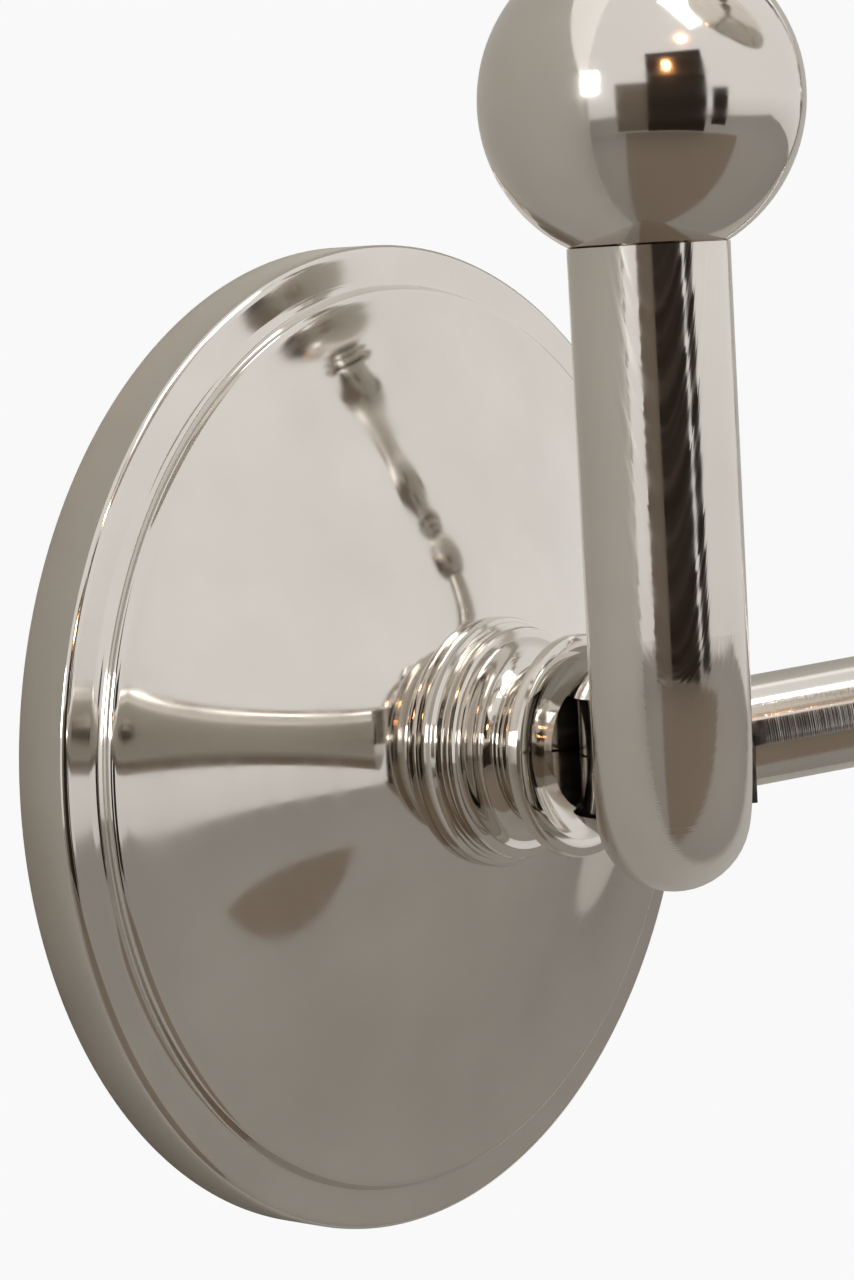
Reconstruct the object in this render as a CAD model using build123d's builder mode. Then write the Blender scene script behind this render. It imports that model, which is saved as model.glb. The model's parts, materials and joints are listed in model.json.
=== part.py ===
from build123d import *
import os
from math import cos, radians, sin, tan

# Extendable shaving mirror. Millimetres, +Z up. The origin is the centre of the rose on the wall
# plane, the room is on the -Y side, and a person looks along +Y into the glass.

# rose and the turned neck on it (depths are measured from the wall, towards the room)
rose_radius = 56.0
rim_depth = 6.5
dome_radius = 50.9
dome_edge_depth = 8.4
dome_top_depth = 18.7
shell = 2.4
collar_radius = 14.0
collar_depth = 20.8
bead_radius = 12.9
neck_depth = 23.2
neck_radius = 8.4
trumpet_depth = 31.5
trumpet_radius = 12.3
spigot_radius = 4.0

# linkage: four equal arms between a wall hub and a front hub, on vertical pivots
hub_depth = 40.3
arm_length = 118.0
arm_splay = 54.0
arm_rise = 5.0
tube_radius = 6.0
tube_wall = 1.2
bend_radius = 16.0
ball_radius = 12.0
pin_radius = 2.5
running_gap = 0.05
open_gap = 0.4
hub_radius = 11.0
slot_half = 6.4
tongue = 6.0
tongue_gap = 0.15
eye_radius = 8.0
eye_clearance = 0.4
tongue_width = 10.0
eye_reach = 9.6
plug_length = 1.4
screw_radius = 1.5

# turned post at each elbow (heights above the wall hub)
post_height = 224.0
post_ball_height = 64.0
bell_height = 12.0
bell_radius = 11.0
barrel_radius = 7.0
post_seam = 0.3

# mirror
mirror_radius = 95.0
mirror_depth = 12.0

mid_height = post_height / 2
splay = radians(arm_splay)
elbow_x = arm_length * sin(splay)
elbow_y = -hub_depth - arm_length * cos(splay)
front_y = -hub_depth - 2 * arm_length * cos(splay)
ring_small = 8.2
ring_large = 9.6

os.makedirs("parts", exist_ok=True)


def save(piece, name):
    piece.part.label = name
    export_step(piece.part, f"parts/{name}.step")


def turned_plane(centre_y, height):
    """Sketch plane with x as radius and y as distance towards the room."""
    return Plane(origin=(0, centre_y, height), x_dir=(1, 0, 0), z_dir=(0, 0, -1))


def room_axis(centre_y, height):
    return Axis((0, centre_y, height), (0, -1, 0))


def post_plane(x, y, height, up):
    """Sketch plane with x as radius and y along the post, upwards or downwards."""
    return Plane(origin=(x, y, height), x_dir=(1, 0, 0), z_dir=(0, -up, 0))


def turned(name, plane, axis, points):
    """A turned solid from a closed outline of radius and length."""
    with BuildPart() as piece:
        with BuildSketch(plane):
            with BuildLine():
                Polyline(*points, close=True)
            make_face()
        revolve(axis=axis)
    save(piece, name)


# ---- backplate: an ogee dome with a square rim and a cove, open at the back ----
dome_edge = (50.2, dome_edge_depth)
dome_top = (collar_radius - 0.4, dome_top_depth)
dome_third = (dome_edge[0] - dome_top[0]) / 3
dome_inside = (23.5, 9.5)
with BuildPart() as backplate:
    with BuildSketch(turned_plane(0, 0)):
        with BuildLine():
            Line((rose_radius, 0), (rose_radius, rim_depth - 1))
            ThreePointArc((rose_radius, rim_depth - 1), (rose_radius - 0.3, rim_depth - 0.3), (rose_radius - 1, rim_depth))
            Line((rose_radius - 1, rim_depth), (51.8, rim_depth))
            ThreePointArc((51.8, rim_depth), (51.1, 6.9), (dome_radius, dome_edge_depth - 0.6))
            ThreePointArc((dome_radius, dome_edge_depth - 0.6), (50.7, 8.2), (50.2, dome_edge_depth))
            Bezier(dome_edge, (dome_edge[0] - dome_third, dome_edge[1] + 0.04 * dome_third),
                   (dome_top[0] + dome_third, dome_top[1] - 0.12 * dome_third), dome_top)
            Line((collar_radius - 0.4, dome_top_depth), (spigot_radius, dome_top_depth))
            Line((spigot_radius, dome_top_depth), (spigot_radius, dome_top_depth - 3 * shell))
            Line((spigot_radius, dome_top_depth - 3 * shell), dome_inside)
            Line(dome_inside, (rose_radius - 2 * shell, rim_depth - shell))
            Line((rose_radius - 2 * shell, rim_depth - shell), (rose_radius - 2 * shell, 0))
            Line((rose_radius - 2 * shell, 0), (rose_radius, 0))
        make_face()
    revolve(axis=room_axis(0, 0))
    grub_hole = Plane(origin=(0, 0, -rose_radius - 1), x_dir=(1, 0, 0), z_dir=(0, 0, 1))
    with BuildSketch(grub_hole):
        with Locations((0, -rim_depth / 2)):
            Circle(screw_radius)
    extrude(amount=3 * shell + 1, mode=Mode.SUBTRACT)
save(backplate, "backplate")

# ---- hidden wall bracket: a disc and bar with two holes for the wall's own screws ----
bracket_radius = 30.0
bracket_thick = 3.0
fixing_pitch = 40.0
fixing_radius = 2.5
room_plane = Plane(origin=(0, 0, 0), x_dir=(1, 0, 0), z_dir=(0, -1, 0))
with BuildPart() as wall_bracket:
    with BuildSketch(room_plane):
        Circle(bracket_radius)
        with Locations((-fixing_pitch / 2, 0), (fixing_pitch / 2, 0)):
            Circle(fixing_radius, mode=Mode.SUBTRACT)
    extrude(amount=bracket_thick)
    with BuildSketch(room_plane):
        Rectangle(6, 2 * (rose_radius - 2 * shell) - 0.4)
    extrude(amount=bracket_thick)
save(wall_bracket, "wall_bracket")

with BuildPart() as rose_grub_screw:
    with BuildSketch(Plane(origin=(0, 0, -rose_radius), x_dir=(1, 0, 0), z_dir=(0, 0, 1))):
        with Locations((0, -rim_depth / 2)):
            Circle(screw_radius)
            RegularPolygon(0.8, 6, mode=Mode.SUBTRACT)
    extrude(amount=3.5)
save(rose_grub_screw, "rose_grub_screw")

# ---- turned neck: collar, ribbed groove, bead, neck and trumpet, threaded on one spigot ----
turned("base_collar", turned_plane(0, 0), room_axis(0, 0),
       [(spigot_radius, dome_top_depth), (collar_radius - 0.3, dome_top_depth), (collar_radius, 19.1),
        (collar_radius, 20.4), (collar_radius - 0.4, collar_depth), (spigot_radius, collar_depth)])
turned("ribbed_washer", turned_plane(0, 0), room_axis(0, 0),
       [(spigot_radius, collar_depth), (13.2, collar_depth), (12.7, 21.2), (13.1, 21.5), (12.6, 21.9),
        (12.9, 22.2), (12.3, 22.5), (12.9, 22.8), (12.9, neck_depth), (spigot_radius, neck_depth)])
with BuildPart() as trumpet:
    with BuildSketch(turned_plane(0, 0)):
        with BuildLine():
            Line((spigot_radius, neck_depth), (11.8, neck_depth))
            Line((11.8, neck_depth), (11.8, 23.6))
            ThreePointArc((11.8, 23.6), (9.4, 24.1), (neck_radius, 25.0))
            Line((neck_radius, 25.0), (9.1, 25.3))
            Line((9.1, 25.3), (8.6, 25.7))
            Line((8.6, 25.7), (9.3, 26.1))
            Line((9.3, 26.1), (8.8, 26.6))
            Line((8.8, 26.6), (9.3, 27.0))
            ThreePointArc((9.3, 27.0), (10.2, 28.9), (trumpet_radius, 29.9))
            Line((trumpet_radius, 29.9), (trumpet_radius, trumpet_depth - 0.4))
            Line((trumpet_radius, trumpet_depth - 0.4), (trumpet_radius - 0.4, trumpet_depth))
            Line((trumpet_radius - 0.4, trumpet_depth), (10.2, trumpet_depth))
            ThreePointArc((10.2, trumpet_depth), (7.6, 29.3), (spigot_radius, 28.2))
            Line((spigot_radius, 28.2), (spigot_radius, neck_depth))
        make_face()
    revolve(axis=room_axis(0, 0))
save(trumpet, "trumpet")


def ball_fork(name, centre_y, height, toward):
    """A ball with a level slot for two tongues, and a web towards the piece that carries it."""
    with BuildPart() as fork:
        with Locations((0, centre_y, height)):
            Sphere(hub_radius)
        slot_centre = centre_y + toward * (eye_radius + eye_clearance - 2 * ball_radius)
        with Locations((0, slot_centre, height)):
            Box(4 * ball_radius, 4 * ball_radius, 2 * slot_half, mode=Mode.SUBTRACT)
        with BuildSketch(Plane.XY.offset(height - 2 * ball_radius)):
            with Locations((0, centre_y)):
                Circle(pin_radius)
        extrude(amount=4 * ball_radius, mode=Mode.SUBTRACT)
    save(fork, name)


def stem(name, start_y, end_y, height):
    with BuildPart() as rod:
        with BuildSketch(Plane(origin=(0, start_y, height), x_dir=(1, 0, 0), z_dir=(0, -1, 0))):
            Circle(spigot_radius)
        extrude(amount=start_y - end_y)
    save(rod, name)


def hub_pin(name, centre_y, height):
    """Vertical pivot pin, with a low domed cap at each pole of the ball."""
    pole = hub_radius - 0.2
    turned(name, post_plane(0, centre_y, height, 1), Axis((0, centre_y, height), (0, 0, 1)),
           [(0, -pole - 1.6), (2.2, -pole - 1.2), (3.4, -pole), (pin_radius, -pole), (pin_radius, pole),
            (3.4, pole), (2.2, pole + 1.2), (0, pole + 1.6)])


ball_fork("wall_hub_ball", -hub_depth, 0, 1)
hub_pin("wall_hub_pin", -hub_depth, 0)
stem("wall_spigot", -bracket_thick, -hub_depth + hub_radius - 0.6, 0)
ball_fork("front_hub_ball", front_y, post_height, -1)
hub_pin("front_hub_pin", front_y, post_height)


def arm_parts(side, level, root_y, root_z, toward, up):
    """One arm: a tongue with its plug, and a bent tube up or down into the post."""
    name = f"{side}_{level}"
    hand = -1 if side == "left" else 1
    rise = radians(arm_rise)
    away = Vector(hand * sin(splay), -toward * cos(splay), 0)
    root = Vector(0, root_y, root_z)
    slope = away * cos(rise) + Vector(0, 0, up * sin(rise))
    across = Vector(-away.Y, away.X, 0)
    # tongue, a flat eye on the hub pin, on the upper or lower half of the slot
    low = tongue_gap if side == "left" else -tongue_gap - tongue
    gap = open_gap if name == "right_upper" else running_gap
    flat = Plane(origin=root + Vector(0, 0, low), x_dir=away, z_dir=(0, 0, 1))
    with BuildPart() as tongue_piece:
        with BuildSketch(flat):
            Circle(eye_radius)
            with Locations((eye_reach / 2, 0)):
                Rectangle(eye_reach + 0.6, tongue_width)
            Circle(pin_radius + gap, mode=Mode.SUBTRACT)
        extrude(amount=tongue)
        with BuildSketch(Plane(origin=root + slope * eye_reach, x_dir=across, z_dir=slope)):
            Circle(tube_radius)
        extrude(amount=plug_length)
    save(tongue_piece, f"{name}_tongue")
    # tube: a straight run, a quarter bend and a riser
    start = eye_reach + plug_length
    corner_z = arm_length * tan(rise)
    span = bend_radius / tan(radians(90 + arm_rise) / 2)
    run_end = arm_length / cos(rise) - span
    top = post_ball_height - ball_radius + 1.5
    p_start = root + slope * start
    p_bend = root + slope * run_end
    p_corner = root + away * arm_length + Vector(0, 0, up * corner_z)
    p_rise = p_corner + Vector(0, 0, up * span)
    p_top = root + away * arm_length + Vector(0, 0, up * top)
    with BuildPart() as tube:
        with BuildLine():
            Line(p_start, p_bend)
            TangentArc(p_bend, p_rise, tangent=slope)
            Line(p_rise, p_top)
        with BuildSketch(Plane(origin=p_start, x_dir=across, z_dir=slope)):
            Circle(tube_radius)
            Circle(tube_radius - tube_wall, mode=Mode.SUBTRACT)
        sweep()
    save(tube, f"{name}_tube")


def post_parts(side, level, x, y, base, up):
    """Turned post of one arm: ball, rings and bell, then the pivot (lower) or the barrel (upper)."""
    name = f"{side}_{level}"
    axis = Axis((x, y, 0), (0, 0, 1))
    start = base + up * post_ball_height
    plane = post_plane(x, y, start, up)
    neck = ball_radius - 1.2
    with BuildPart() as ball:
        with Locations((x, y, start)):
            Sphere(ball_radius)
        with BuildSketch(Plane.XY.offset(start - up * neck)):
            with Locations((x, y)):
                Rectangle(3 * ball_radius, 3 * ball_radius)
        extrude(amount=-up * ball_radius, mode=Mode.SUBTRACT)
        with BuildSketch(Plane.XY.offset(start + up * neck)):
            with Locations((x, y)):
                Rectangle(3 * ball_radius, 3 * ball_radius)
        extrude(amount=up * ball_radius, mode=Mode.SUBTRACT)
    save(ball, f"{name}_ball")
    ring_top = neck + 6.2
    turned(f"{name}_rings", plane, axis,
           [(0, neck), (6.2, neck), (6.2, neck + 1.2), (ring_small, neck + 1.8), (ring_small, neck + 2.6),
            (6.6, neck + 3.2), (6.6, neck + 4.0), (ring_large, neck + 4.6), (ring_large, neck + 5.6),
            (7.0, ring_top), (0, ring_top)])
    bell_top = ring_top + bell_height
    with BuildPart() as bell:
        with BuildSketch(plane):
            with BuildLine():
                Line((0, ring_top), (6.0, ring_top))
                ThreePointArc((6.0, ring_top), (7.4, ring_top + 4.5), (bell_radius - 0.5, ring_top + 7.5))
                Line((bell_radius - 0.5, ring_top + 7.5), (bell_radius, ring_top + 8.2))
                Line((bell_radius, ring_top + 8.2), (bell_radius, ring_top + 9.4))
                ThreePointArc((bell_radius, ring_top + 9.4), (9.6, ring_top + 11.2), (barrel_radius, bell_top))
                Line((barrel_radius, bell_top), (0, bell_top))
                Line((0, bell_top), (0, ring_top))
            make_face()
        revolve(axis=axis)
    save(bell, f"{name}_bell")
    return start + up * bell_top


for side, x in (("left", -elbow_x), ("right", elbow_x)):
    arm_parts(side, "lower", -hub_depth, 0, 1, 1)
    arm_parts(side, "upper", front_y, post_height, -1, -1)
    low_end = post_parts(side, "lower", x, elbow_y, 0, 1)
    high_end = post_parts(side, "upper", x, elbow_y, post_height, -1)
    shaft_axis = Axis((x, elbow_y, 0), (0, 0, 1))
    middle = Plane(origin=(x, elbow_y, 0), x_dir=(1, 0, 0), z_dir=(0, -1, 0))
    shaft_top = high_end - 2
    turned(f"{side}_elbow_pin", middle, shaft_axis,
           [(0, low_end), (pin_radius, low_end), (pin_radius, shaft_top), (0, shaft_top)])
    hole = pin_radius + running_gap
    turned(f"{side}_elbow_barrel", middle, shaft_axis,
           [(hole, low_end + post_seam), (barrel_radius + 0.6, low_end + post_seam),
            (barrel_radius + 0.6, low_end + 1.5), (barrel_radius, low_end + 2),
            (barrel_radius, high_end), (hole, high_end)])

# ---- front carrier: stem, crossbar and two trunnions that the mirror tilts on ----
boss_start = front_y - hub_radius + 0.6
carrier_height = post_height
turned("front_collar", turned_plane(boss_start, carrier_height), room_axis(boss_start, carrier_height),
       [(0, 0), (7.0, 0), (7.6, 0.6), (7.6, 1.6), (6.2, 2.2), (6.2, 3.0), (8.8, 3.6), (8.8, 5.0), (6.0, 5.8),
        (5.2, 9.0), (5.2, 11.0), (0, 11.0)])
cheek_reach = 20.0
cheek_width = 12.0
cheek_thick = 4.0
eye_thick = 8.0
bar_start = boss_start - 11.0
with BuildPart() as tilt_fork:
    with BuildSketch(Plane(origin=(0, bar_start, carrier_height), x_dir=(1, 0, 0), z_dir=(0, -1, 0))):
        Rectangle(eye_thick + 2 * cheek_thick + 0.6, cheek_width)
    extrude(amount=4)
    for cheek in (-1, 1):
        cheek_x = cheek * (eye_thick / 2 + 0.3)
        with BuildSketch(Plane(origin=(cheek_x, bar_start - 4, carrier_height), x_dir=(0, -1, 0),
                               z_dir=(cheek, 0, 0))):
            with Locations((cheek_reach / 2 - cheek_width / 4, 0)):
                Rectangle(cheek_reach - cheek_width / 2, cheek_width)
            with Locations((cheek_reach - cheek_width / 2, 0)):
                Circle(cheek_width / 2)
                Circle(pin_radius, mode=Mode.SUBTRACT)
        extrude(amount=cheek_thick)
save(tilt_fork, "tilt_fork")
tilt_pin_y = bar_start - 4 - cheek_reach + cheek_width / 2
pin_half = eye_thick / 2 + cheek_thick + 0.3
side_plane = Plane(origin=(0, tilt_pin_y, carrier_height), x_dir=(0, 1, 0), z_dir=(1, 0, 0))
with BuildPart() as tilt_pin:
    with BuildSketch(side_plane.offset(-pin_half)):
        Circle(pin_radius)
    extrude(amount=2 * pin_half)
save(tilt_pin, "tilt_pin")
with BuildPart() as tilt_knobs:
    for end in (-1, 1):
        with BuildSketch(side_plane.offset(end * pin_half)):
            Circle(6)
        extrude(amount=end * 4, taper=12)
save(tilt_knobs, "tilt_knobs")

# ---- mirror: eye, backing shell, gasket, plain glass and a rim ring ----
shell_y = tilt_pin_y - 12.0
with BuildPart() as mirror_eye:
    with BuildSketch(side_plane.offset(-eye_thick / 2)):
        Circle(cheek_width / 2)
        with Locations((-6, 0)):
            Rectangle(12, cheek_width - 2)
        Circle(pin_radius + running_gap, mode=Mode.SUBTRACT)
    extrude(amount=eye_thick)
    with BuildSketch(Plane(origin=(0, shell_y + 2.5, carrier_height), x_dir=(1, 0, 0), z_dir=(0, -1, 0))):
        Circle(16)
    extrude(amount=2.5)
save(mirror_eye, "mirror_eye")
face_plane = turned_plane(shell_y, carrier_height)
face_axis = room_axis(shell_y, carrier_height)
with BuildPart() as mirror_back_shell:
    with BuildSketch(face_plane):
        with BuildLine():
            Line((0, 0), (16, 0))
            ThreePointArc((16, 0), (60, 1.8), (mirror_radius - 1.2, 8))
            Line((mirror_radius - 1.2, 8), (mirror_radius - 1.2, mirror_depth))
            Line((mirror_radius - 1.2, mirror_depth), (mirror_radius - 3, mirror_depth))
            Line((mirror_radius - 3, mirror_depth), (mirror_radius - 3, 9.0))
            Line((mirror_radius - 3, 9.0), (60, 3.8))
            Line((60, 3.8), (0, 2))
            Line((0, 2), (0, 0))
        make_face()
    revolve(axis=face_axis)
save(mirror_back_shell, "mirror_back_shell")
turned("glass_gasket", face_plane, face_axis,
       [(80, 9.0), (mirror_radius - 3, 9.0), (mirror_radius - 3, 10.0), (80, 10.0)])
turned("mirror_glass", face_plane, face_axis,
       [(0, 10.0), (mirror_radius - 3.2, 10.0), (mirror_radius - 3.2, 13.0), (0, 13.0)])
turned("mirror_rim", face_plane, face_axis,
       [(mirror_radius - 1.2, 8.0), (mirror_radius + 1.2, 8.6), (mirror_radius + 2.0, 10.4),
        (mirror_radius + 2.0, 13.0), (mirror_radius + 1.0, 15.0), (mirror_radius - 3.6, 15.6),
        (mirror_radius - 5.0, 13.0), (mirror_radius - 3.0, 13.0), (mirror_radius - 3.0, 12.0),
        (mirror_radius - 1.2, 12.0)])
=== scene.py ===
import json
import math

import bmesh
import bpy
from mathutils import Matrix, Vector


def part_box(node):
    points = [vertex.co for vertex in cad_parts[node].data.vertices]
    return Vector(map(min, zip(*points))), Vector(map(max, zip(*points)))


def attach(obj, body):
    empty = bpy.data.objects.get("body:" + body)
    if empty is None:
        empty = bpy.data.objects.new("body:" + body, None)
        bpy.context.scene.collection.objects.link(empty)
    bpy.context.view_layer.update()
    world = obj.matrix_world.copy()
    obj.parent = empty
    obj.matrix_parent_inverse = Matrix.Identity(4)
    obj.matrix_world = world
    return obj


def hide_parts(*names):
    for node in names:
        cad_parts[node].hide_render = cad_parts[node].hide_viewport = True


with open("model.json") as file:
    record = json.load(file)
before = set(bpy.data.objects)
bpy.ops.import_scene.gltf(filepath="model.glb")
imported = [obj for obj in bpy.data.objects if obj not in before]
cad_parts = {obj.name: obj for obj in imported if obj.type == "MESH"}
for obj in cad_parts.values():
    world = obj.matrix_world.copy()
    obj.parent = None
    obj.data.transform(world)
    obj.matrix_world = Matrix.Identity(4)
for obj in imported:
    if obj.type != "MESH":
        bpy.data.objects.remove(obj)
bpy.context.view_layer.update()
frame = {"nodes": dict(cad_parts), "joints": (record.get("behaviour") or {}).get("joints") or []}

MM = 0.001

# camera: close to the rose, left of the hub and a little above it, in metres and degrees
CAMERA_PLACE = (-0.3070, -0.2575, 0.0520)
CAMERA_AZIMUTH = 51.1
CAMERA_PITCH = -5.9
CAMERA_ROLL = -3.2
CAMERA_LENS = 98.4
CAMERA_SENSOR = 36.0
CAMERA_CLIP = 0.01

# metal colours, each from its darkest to its lightest
NICKEL = ((0.70, 0.665, 0.62), (0.77, 0.735, 0.69))
ZINC = ((0.42, 0.42, 0.43), (0.60, 0.60, 0.61))
SCREW = ((0.30, 0.30, 0.31), (0.50, 0.50, 0.51))
SILVER = ((0.90, 0.92, 0.915), (0.95, 0.96, 0.955))
BLACK_RUBBER = ((0.015, 0.015, 0.016), (0.04, 0.04, 0.042))

# how a noise pattern is stretched: even, or into marks that run round an axis
EVEN = (1, 1, 1)
AROUND_Y = (0.04, 1.0, 0.04)
AROUND_Z = (0.04, 0.04, 1.0)

# noise sizes, as repeats in a metre, and the depths of the marks that they press, in metres
HAZE_SCALE = 60.0
LAY_SCALE = 900.0
TUBE_MARKS_SCALE = 5200.0
PLATING_SCALE = 400.0
RUBBER_SCALE = 1500.0
GLASS_HAZE_SCALE = 25.0
STUDIO_CLOUD_SCALE = 3.0
LAY_DEPTH = 0.00002
GRAIN_DEPTH = 0.00005


# ---------------------------------------------------------------- materials

def new_material(name):
    material = bpy.data.materials.new(name)
    material.use_nodes = True
    nodes = material.node_tree.nodes
    return material, nodes, material.node_tree.links, nodes["Principled BSDF"]


def new_metal(name):
    material, nodes, links, shader = new_material(name)
    shader.inputs["Metallic"].default_value = 1.0
    return material, nodes, links, shader


def coordinates(nodes, links, scale):
    where = nodes.new("ShaderNodeTexCoord")
    stretch = nodes.new("ShaderNodeMapping")
    stretch.inputs["Scale"].default_value = scale
    links.new(where.outputs["Object"], stretch.inputs["Vector"])
    return stretch.outputs["Vector"]


def noise(nodes, links, scale, size, detail=4.0):
    texture = nodes.new("ShaderNodeTexNoise")
    texture.inputs["Scale"].default_value = size
    texture.inputs["Detail"].default_value = detail
    links.new(coordinates(nodes, links, scale), texture.inputs["Vector"])
    return texture.outputs["Fac"]


def spread(nodes, links, source, low, high, start=0.35, stop=0.65):
    """Maps the middle of a noise pattern onto the range from low to high."""
    ramp = nodes.new("ShaderNodeMapRange")
    ramp.inputs["From Min"].default_value = start
    ramp.inputs["From Max"].default_value = stop
    ramp.inputs["To Min"].default_value = low
    ramp.inputs["To Max"].default_value = high
    links.new(source, ramp.inputs["Value"])
    return ramp.outputs["Result"]


def bump(nodes, links, shader, source, strength, distance):
    node = nodes.new("ShaderNodeBump")
    node.inputs["Strength"].default_value = strength
    node.inputs["Distance"].default_value = distance
    links.new(source, node.inputs["Height"])
    links.new(node.outputs["Normal"], shader.inputs["Normal"])


def tint(nodes, links, shader, source, colours, start=0.3, stop=0.7):
    """Colours the shader by a noise pattern, from the darker to the lighter of two colours."""
    ramp = nodes.new("ShaderNodeValToRGB")
    for element, colour, position in zip(ramp.color_ramp.elements, colours, (start, stop)):
        element.position = position
        element.color = (*colour, 1)
    links.new(source, ramp.inputs["Fac"])
    links.new(ramp.outputs["Color"], shader.inputs["Base Color"])


def nickel(name, grain, low, high, lines):
    """Polished warm nickel: a soft haze, and hair-fine lay marks stretched by grain."""
    material, nodes, links, shader = new_metal(name)
    tint(nodes, links, shader, noise(nodes, links, EVEN, HAZE_SCALE), NICKEL)
    lay = noise(nodes, links, grain, LAY_SCALE, detail=2.0)
    links.new(spread(nodes, links, lay, low, high), shader.inputs["Roughness"])
    bump(nodes, links, shader, lay, lines, LAY_DEPTH)
    return material


def nickel_tube(name, direction, low=0.06, high=0.16, lines=0.35):
    """Polished nickel with fine turned marks that run round a straight tube."""
    material, nodes, links, shader = new_metal(name)
    tint(nodes, links, shader, noise(nodes, links, EVEN, HAZE_SCALE), NICKEL)
    along = nodes.new("ShaderNodeVectorMath")
    along.operation = "DOT_PRODUCT"
    along.inputs[1].default_value = direction
    links.new(coordinates(nodes, links, EVEN), along.inputs[0])
    marks = nodes.new("ShaderNodeTexNoise")
    marks.noise_dimensions = "1D"
    marks.inputs["Scale"].default_value = TUBE_MARKS_SCALE
    links.new(along.outputs["Value"], marks.inputs["W"])
    links.new(spread(nodes, links, marks.outputs["Fac"], low, high), shader.inputs["Roughness"])
    bump(nodes, links, shader, marks.outputs["Fac"], lines, LAY_DEPTH)
    return material


def plain_metal(name, colours, roughness, grain=EVEN):
    """Plated or drawn steel, a little smoother and a little rougher from place to place."""
    material, nodes, links, shader = new_metal(name)
    lay = noise(nodes, links, grain, PLATING_SCALE)
    tint(nodes, links, shader, lay, colours)
    links.new(spread(nodes, links, lay, roughness * 0.8, roughness * 1.3), shader.inputs["Roughness"])
    bump(nodes, links, shader, lay, 0.2, GRAIN_DEPTH)
    return material


def rubber():
    material, nodes, links, shader = new_material("gasket_rubber")
    grain = noise(nodes, links, EVEN, RUBBER_SCALE)
    tint(nodes, links, shader, grain, BLACK_RUBBER)
    shader.inputs["Roughness"].default_value = 0.75
    bump(nodes, links, shader, grain, 0.3, GRAIN_DEPTH)
    return material


def silvered_glass():
    material, nodes, links, shader = new_metal("silvered_glass")
    haze = noise(nodes, links, EVEN, GLASS_HAZE_SCALE)
    tint(nodes, links, shader, haze, SILVER)
    links.new(spread(nodes, links, haze, 0.005, 0.02), shader.inputs["Roughness"])
    shader.inputs["Coat Weight"].default_value = 1.0
    return material


def matt(name, colour, variation=0.02):
    """A studio surface with almost no shine, faintly clouded."""
    material, nodes, links, shader = new_material(name)
    darker = tuple(part * (1 - variation) for part in colour)
    tint(nodes, links, shader, noise(nodes, links, EVEN, STUDIO_CLOUD_SCALE), (darker, colour))
    shader.inputs["Roughness"].default_value = 0.9
    shader.inputs["Specular IOR Level"].default_value = 0.1
    return material


def glowing(name, colour, strength):
    material, nodes, links, shader = new_material(name)
    shader.inputs["Base Color"].default_value = (0, 0, 0, 1)
    shader.inputs["Emission Color"].default_value = (*colour, 1)
    shader.inputs["Emission Strength"].default_value = strength
    return material


# ---------------------------------------------------------------- finishes of the CAD nodes

JOINTS = {joint["name"]: joint for joint in frame["joints"]}
WALL_HUB = Vector(JOINTS["left_arm_swing"]["pos_m"])
FRONT_HUB = Vector(JOINTS["front_hub_turn"]["pos_m"])
ARM_RISE = 5.0
AROUND_Y_NODES = ("base_collar", "ribbed_washer", "trumpet", "wall_spigot", "front_collar", "mirror_rim",
                  "mirror_back_shell")
AROUND_Z_ENDINGS = ("_rings", "_bell", "_barrel", "_ball")


def arm_direction(side, level):
    """Unit vector from a hub to the arm's elbow, with the tube's rise towards the post."""
    hub, up = (WALL_HUB, 1) if level == "lower" else (FRONT_HUB, -1)
    flat = Vector(JOINTS[f"{side}_elbow"]["pos_m"]) - hub
    flat.z = 0
    rise = Vector((0, 0, up * flat.length * math.tan(math.radians(ARM_RISE))))
    return (flat + rise).normalized()


def tube_finishes():
    finishes = {}
    for side in ("left", "right"):
        for level in ("lower", "upper"):
            tube = f"{side}_{level}_tube"
            finishes[tube] = nickel_tube(f"nickel_{tube}", arm_direction(side, level))
    return finishes


NICKEL_ROSE = nickel("nickel_rose", AROUND_Y, low=0.05, high=0.085, lines=0.05)
NICKEL_TURNED = nickel("nickel_turned", AROUND_Y, low=0.06, high=0.12, lines=0.25)
NICKEL_POST = nickel("nickel_post", AROUND_Z, low=0.06, high=0.12, lines=0.2)
NICKEL_PLAIN = nickel("nickel_plain", EVEN, low=0.08, high=0.14, lines=0.1)
SCREW_STEEL = plain_metal("screw_steel", SCREW, 0.28, AROUND_Z)
OWN_FINISHES = {
    "backplate": NICKEL_ROSE,
    "rose_grub_screw": SCREW_STEEL,
    "wall_bracket": plain_metal("zinc_steel", ZINC, 0.35),
    "mirror_glass": silvered_glass(),
    "glass_gasket": rubber(),
    **tube_finishes(),
}


def finish_for(node):
    if node in OWN_FINISHES:
        return OWN_FINISHES[node]
    if node in AROUND_Y_NODES:
        return NICKEL_TURNED
    if node.endswith(AROUND_Z_ENDINGS):
        return NICKEL_POST
    if node.endswith("_elbow_pin"):
        return SCREW_STEEL
    return NICKEL_PLAIN


for node_name, node_object in frame["nodes"].items():
    node_object.data.materials.clear()
    node_object.data.materials.append(finish_for(node_name))


# ---------------------------------------------------------------- turned pieces
# Outlines are (radius, length) points in millimetres, and length is the distance from the wall.

ROOM = Vector((0, -1, 0))
SEGMENTS = 160
ROSE_SEGMENTS = 256
CREASE_ANGLE = 28.0
CORE_RADIUS = 4.0


def reach(node):
    """How far a node stands out from the wall, in millimetres."""
    return round(-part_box(node)[0].y / MM, 2)


def radius_of(node):
    """The largest radius of a round node on the wall's axis, in millimetres."""
    return round(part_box(node)[1].x / MM, 2)


def smooth_by_angle(mesh):
    for face in mesh.polygons:
        face.use_smooth = True
    work = bmesh.new()
    work.from_mesh(mesh)
    bmesh.ops.recalc_face_normals(work, faces=work.faces)
    for edge in work.edges:
        if edge.calc_face_angle() > math.radians(CREASE_ANGLE):
            edge.smooth = False
    work.to_mesh(mesh)
    work.free()


def raised(points, level):
    return [(radius, level + rise) for radius, rise in points]


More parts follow.
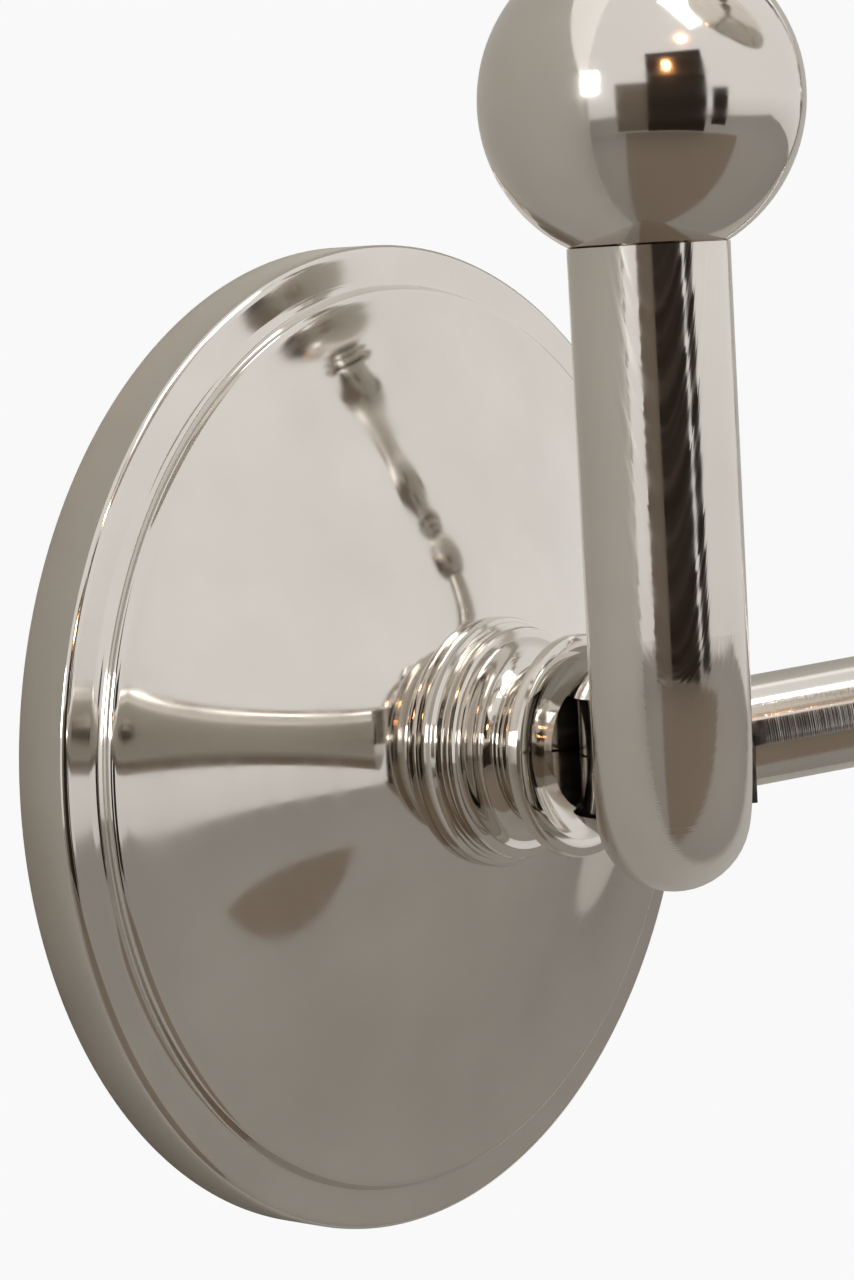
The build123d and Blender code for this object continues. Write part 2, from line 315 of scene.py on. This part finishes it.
def arc(centre, radius, first, last, steps):
    """Points of an arc, with its angles in degrees from the outward direction."""
    out = []
    for step in range(steps + 1):
        angle = math.radians(first + (last - first) * step / steps)
        out.append((centre[0] + radius * math.cos(angle), centre[1] + radius * math.sin(angle)))
    return out


def curve_through(start, start_slope, end, end_slope, steps):
    """A cubic from start to end, with its end slopes given as length over radius."""
    width = end[0] - start[0]
    out = []
    for step in range(steps + 1):
        t = step / steps
        from_start = start[1] * (2 * t**3 - 3 * t**2 + 1) + start_slope * width * (t**3 - 2 * t**2 + t)
        from_end = end[1] * (-2 * t**3 + 3 * t**2) + end_slope * width * (t**3 - t**2)
        out.append((start[0] + width * t, from_start + from_end))
    return out


def lathe(name, outline, material, node, segments=SEGMENTS):
    """A closed ring turned about the wall's axis, which takes the place of a CAD node."""
    side = ROOM.orthogonal().normalized()
    other = ROOM.cross(side)
    work = bmesh.new()
    rings = []
    for radius, length in outline:
        ring = []
        for step in range(segments):
            angle = 2 * math.pi * step / segments
            spoke = side * math.cos(angle) + other * math.sin(angle)
            ring.append(work.verts.new(ROOM * length * MM + spoke * radius * MM))
        rings.append(ring)
    for low, high in zip(rings, rings[1:] + rings[:1]):
        for step in range(segments):
            after = (step + 1) % segments
            work.faces.new((low[step], low[after], high[after], high[step]))
    mesh = bpy.data.meshes.new(name)
    work.to_mesh(mesh)
    work.free()
    smooth_by_angle(mesh)
    mesh.materials.append(material)
    piece = bpy.data.objects.new(name, mesh)
    bpy.context.collection.objects.link(piece)
    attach(piece, "wall")
    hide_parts(node)


def rose_shell():
    """The domed wall plate: a flat rim, a cove, and a dome that levels out at both ends."""
    radius = radius_of("backplate")
    top = reach("backplate")
    rim_depth = 6.5
    rim_round = 1.0
    edge_middle = 3.0
    inner_edge = 51.2
    dome_edge = (50.2, 8.4)
    dome_top = (13.6, top)
    cove = [(52.4, rim_depth), (51.9, 6.55), (51.45, 6.75), (51.2, 7.1), (51.1, 7.5)]
    shoulder = [(51.05, 7.8), (50.9, 8.1), (50.5, 8.35)]
    hollow = [(CORE_RADIUS, top), (CORE_RADIUS, 14.0), (20.0, 11.0), (46.0, 5.6), (inner_edge, 4.0)]
    outline = [(inner_edge, 0.0), (radius, 0.0), (radius, edge_middle)]
    outline += arc((radius - rim_round, rim_depth - rim_round), rim_round, 0, 90, steps=6)
    outline += cove + shoulder
    outline += curve_through(dome_edge, -0.04, dome_top, -0.12, steps=36)
    outline += hollow
    lathe("rose_shell", outline, NICKEL_ROSE, "backplate", ROSE_SEGMENTS)


def collar_ring():
    """A plain flat ring with rounded edges, on the dome."""
    radius = radius_of("base_collar")
    foot = reach("backplate")
    top = reach("base_collar")
    outline = [(CORE_RADIUS, foot), (radius - 0.5, foot), (radius - 0.15, foot + 0.2), (radius, foot + 0.6)]
    outline += [(radius, top - 0.6), (radius - 0.15, top - 0.2), (radius - 0.5, top), (CORE_RADIUS, top)]
    lathe("collar_ring", outline, NICKEL_TURNED, "base_collar")


def ribbed_ring():
    """Four fine ribs, as (radius, height above the collar) points."""
    foot = reach("base_collar")
    top = reach("ribbed_washer")
    ribs = [(13.3, 0.0), (13.35, 0.15), (12.75, 0.3), (12.7, 0.45), (13.05, 0.6), (13.05, 0.75),
            (12.55, 0.9), (12.5, 1.1), (12.85, 1.25), (12.85, 1.4), (12.4, 1.5), (12.4, 1.65),
            (12.85, 1.8), (12.95, 2.0), (12.8, 2.3), (12.5, 2.4)]
    outline = [(CORE_RADIUS, foot), *raised(ribs, foot), (CORE_RADIUS, top)]
    lathe("ribbed_ring", outline, NICKEL_TURNED, "ribbed_washer")


def trumpet_cup():
    """A beaded neck that flares into a cup for the hub ball."""
    radius = radius_of("trumpet")
    foot = reach("ribbed_washer")
    top = reach("trumpet")
    foot_radius = 11.8
    beads = [(8.4, 2.0), (9.0, 2.1), (9.05, 2.25), (8.6, 2.4), (8.6, 2.6), (9.2, 2.75), (9.2, 2.95),
             (8.7, 3.15), (8.7, 3.4), (9.1, 3.55), (9.15, 3.75)]
    lip = [(radius, -1.55), (radius, -0.4), (radius - 0.2, -0.1), (radius - 0.5, 0.0), (10.4, 0.0)]
    outline = [(CORE_RADIUS, foot), (foot_radius, foot), (foot_radius, foot + 0.3)]
    outline += curve_through((foot_radius, foot + 0.35), 0.0, (8.4, foot + 1.8), -1.6, steps=8)
    outline += raised(beads, foot)
    outline += curve_through((9.15, foot + 3.85), 2.2, (radius - 0.2, top - 1.75), 0.25, steps=14)
    outline += raised(lip, top)
    outline += curve_through((10.2, top - 0.1), 0.9, (CORE_RADIUS, top - 2.9), 0.1, steps=10)
    lathe("trumpet_cup", outline, NICKEL_TURNED, "trumpet")


rose_shell()
collar_ring()
ribbed_ring()
trumpet_cup()


# ---------------------------------------------------------------- stage
# The camera sees a white backdrop and a pale floor. What the metal reflects is a separate set of pieces.

STUDIO_HALF = 3.0
STUDIO_TOP = 2.4
GROUND = -0.6
GAP = 0.0004
WALL_LIGHT_FOOT = 0.30
REFLECTED_GROUND_DROP = 0.01
SECTOR_LIFT = 0.004

WALL_GREY = matt("studio_wall_shade", (0.70, 0.69, 0.65))
FLOOR_PALE = matt("studio_floor", (0.86, 0.85, 0.84))
FLOOR_SHADE = matt("studio_floor_shade", (0.33, 0.315, 0.295))
DARK = matt("studio_dark", (0.030, 0.022, 0.016))
BROWN = matt("studio_brown", (0.22, 0.18, 0.145))


def stage_piece(name, points, faces, material, for_camera=False):
    """A stage piece that only the camera sees, or only reflections and bounced light."""
    mesh = bpy.data.meshes.new(name)
    mesh.from_pydata(points, [], faces)
    mesh.materials.append(material)
    piece = bpy.data.objects.new(name, mesh)
    bpy.context.collection.objects.link(piece)
    piece.visible_camera = for_camera
    piece.visible_glossy = not for_camera
    piece.visible_diffuse = not for_camera
    piece.visible_shadow = False


def upright(name, y, low, high, material):
    """A flat sheet as wide as the studio, parallel to the wall."""
    points = [(-STUDIO_HALF, y, low), (STUDIO_HALF, y, low), (STUDIO_HALF, y, high), (-STUDIO_HALF, y, high)]
    stage_piece(name, points, [(0, 1, 2, 3)], material)


def floor(name, z, material, for_camera=False):
    """A level sheet from the wall into the room."""
    points = [(-STUDIO_HALF, GAP, z), (STUDIO_HALF, GAP, z), (STUDIO_HALF, -STUDIO_HALF, z)]
    points.append((-STUDIO_HALF, -STUDIO_HALF, z))
    stage_piece(name, points, [(0, 1, 2, 3)], material, for_camera)


def band(name, first, last, steps, edges, material):
    """A strip round the wall's axis, between two angles from +X, with (radius, height) edges."""
    points = []
    for step in range(steps + 1):
        angle = math.radians(first + (last - first) * step / steps)
        points += [(radius * math.cos(angle), radius * math.sin(angle), height) for radius, height in edges]
    faces = [(start, start + 1, start + 3, start + 2) for start in range(0, 2 * steps, 2)]
    stage_piece(name, points, faces, material)


def bent_card(name, radius, first, last, low, high, material):
    """A standing curved card."""
    band(name, first, last, 24, ((radius, low), (radius, high)), material)


def ground_sector(name, inner, outer, first, last, material):
    """A flat patch just above the ground."""
    height = GROUND + SECTOR_LIFT
    band(name, first, last, 16, ((inner, height), (outer, height)), material)


upright("studio_wall", GAP, GROUND, STUDIO_TOP, WALL_GREY)
floor("studio_ground", GROUND, FLOOR_PALE, for_camera=True)
floor("studio_ground_in_reflection", GROUND - REFLECTED_GROUND_DROP, FLOOR_SHADE)
bent_card("studio_dark_side", radius=1.6, first=220, last=258, low=-0.58, high=0.85, material=DARK)
bent_card("studio_lens_side", radius=1.6, first=262, last=273, low=-0.45, high=0.16, material=DARK)
bent_card("studio_brown_left", radius=1.65, first=200, last=220, low=-0.58, high=0.30, material=BROWN)
ground_sector("studio_brown_ground", inner=0.05, outer=1.6, first=205, last=285, material=BROWN)
WALL_LIGHT = glowing("studio_wall_light", (1.0, 0.98, 0.95), strength=0.9)
upright("studio_wall_upper", -GAP, WALL_LIGHT_FOOT, STUDIO_TOP, WALL_LIGHT)


# ---------------------------------------------------------------- air and lights

AIR_LOW = (0.50, 0.47, 0.43, 1)
AIR_HIGH = (1.0, 0.985, 0.965, 1)
AIR_STRENGTH = 0.85
BACKDROP = (0.947, 0.947, 0.947, 1)


def air_gradient(nodes, links):
    """A colour that goes from dim below the horizon to white above it."""
    where = nodes.new("ShaderNodeTexCoord")
    split = nodes.new("ShaderNodeSeparateXYZ")
    lift = nodes.new("ShaderNodeMapRange")
    lift.inputs["From Min"].default_value = -0.5
    lift.inputs["From Max"].default_value = 0.6
    ramp = nodes.new("ShaderNodeValToRGB")
    ramp.color_ramp.elements[0].position = 0.0
    ramp.color_ramp.elements[0].color = AIR_LOW
    ramp.color_ramp.elements[1].position = 0.45
    ramp.color_ramp.elements[1].color = AIR_HIGH
    links.new(where.outputs["Generated"], split.inputs["Vector"])
    links.new(split.outputs["Z"], lift.inputs["Value"])
    links.new(lift.outputs["Result"], ramp.inputs["Fac"])
    return ramp.outputs["Color"]


def studio_air():
    """The gradient lights the part, and the camera sees an even white backdrop instead."""
    world = bpy.data.worlds.new("studio_air")
    world.use_nodes = True
    nodes = world.node_tree.nodes
    links = world.node_tree.links
    air = nodes["Background"]
    air.inputs["Strength"].default_value = AIR_STRENGTH
    links.new(air_gradient(nodes, links), air.inputs["Color"])
    backdrop = nodes.new("ShaderNodeBackground")
    backdrop.inputs["Color"].default_value = BACKDROP
    seen = nodes.new("ShaderNodeLightPath")
    choose = nodes.new("ShaderNodeMixShader")
    links.new(seen.outputs["Is Camera Ray"], choose.inputs["Fac"])
    links.new(air.outputs["Background"], choose.inputs[1])
    links.new(backdrop.outputs["Background"], choose.inputs[2])
    links.new(choose.outputs["Shader"], nodes["World Output"].inputs["Surface"])
    bpy.context.scene.world = world


def area_light(name, place, target, size, power, colour=(1, 1, 1), lights_stage=True):
    data = bpy.data.lights.new(name, "AREA")
    data.shape = "RECTANGLE"
    data.size, data.size_y = size
    data.energy = power
    data.color = colour
    light = bpy.data.objects.new(name, data)
    light.location = place
    light.rotation_euler = (Vector(target) - Vector(place)).to_track_quat("-Z", "Y").to_euler()
    light.visible_diffuse = lights_stage
    bpy.context.collection.objects.link(light)


def warm_lamp(name, place, width, power, colour):
    """A small lamp that shows as a warm glint and leaves matt surfaces alone."""
    area_light(name, place, (0, 0, 0), (width, width), power, colour, lights_stage=False)


studio_air()
area_light("softbox_left", place=(-1.3, -0.09, 0.30), target=(0, 0, 0.05), size=(0.25, 0.30), power=2.5)
area_light("softbox_top", place=(0.2, -1.0, 1.5), target=(0, 0, 0.1), size=(1.2, 0.8), power=10)
warm_lamp("warm_lamp_high", place=(-0.55, -1.3, 1.0), width=0.10, power=3, colour=(1.0, 0.50, 0.22))
warm_lamp("warm_lamp_low", place=(-0.9, -1.2, 0.55), width=0.08, power=2, colour=(1.0, 0.45, 0.18))


# ---------------------------------------------------------------- camera

def place_camera():
    azimuth = math.radians(CAMERA_AZIMUTH)
    pitch = math.radians(CAMERA_PITCH)
    roll = math.radians(CAMERA_ROLL)
    ahead = math.cos(pitch)
    look = Vector((math.sin(azimuth) * ahead, math.cos(azimuth) * ahead, math.sin(pitch)))
    right = look.cross(Vector((0, 0, 1))).normalized()
    up = right.cross(look)
    tilted_right = right * math.cos(roll) + up * math.sin(roll)
    tilted_up = up * math.cos(roll) - right * math.sin(roll)
    turn = Matrix((tilted_right, tilted_up, -look)).transposed()
    data = bpy.data.cameras.new("camera")
    data.lens = CAMERA_LENS
    data.sensor_width = CAMERA_SENSOR
    data.clip_start = CAMERA_CLIP
    camera = bpy.data.objects.new("camera", data)
    camera.matrix_world = Matrix.Translation(CAMERA_PLACE) @ turn.to_4x4()
    bpy.context.collection.objects.link(camera)
    bpy.context.scene.camera = camera


place_camera()
bpy.context.scene.view_settings.view_transform = "Standard"
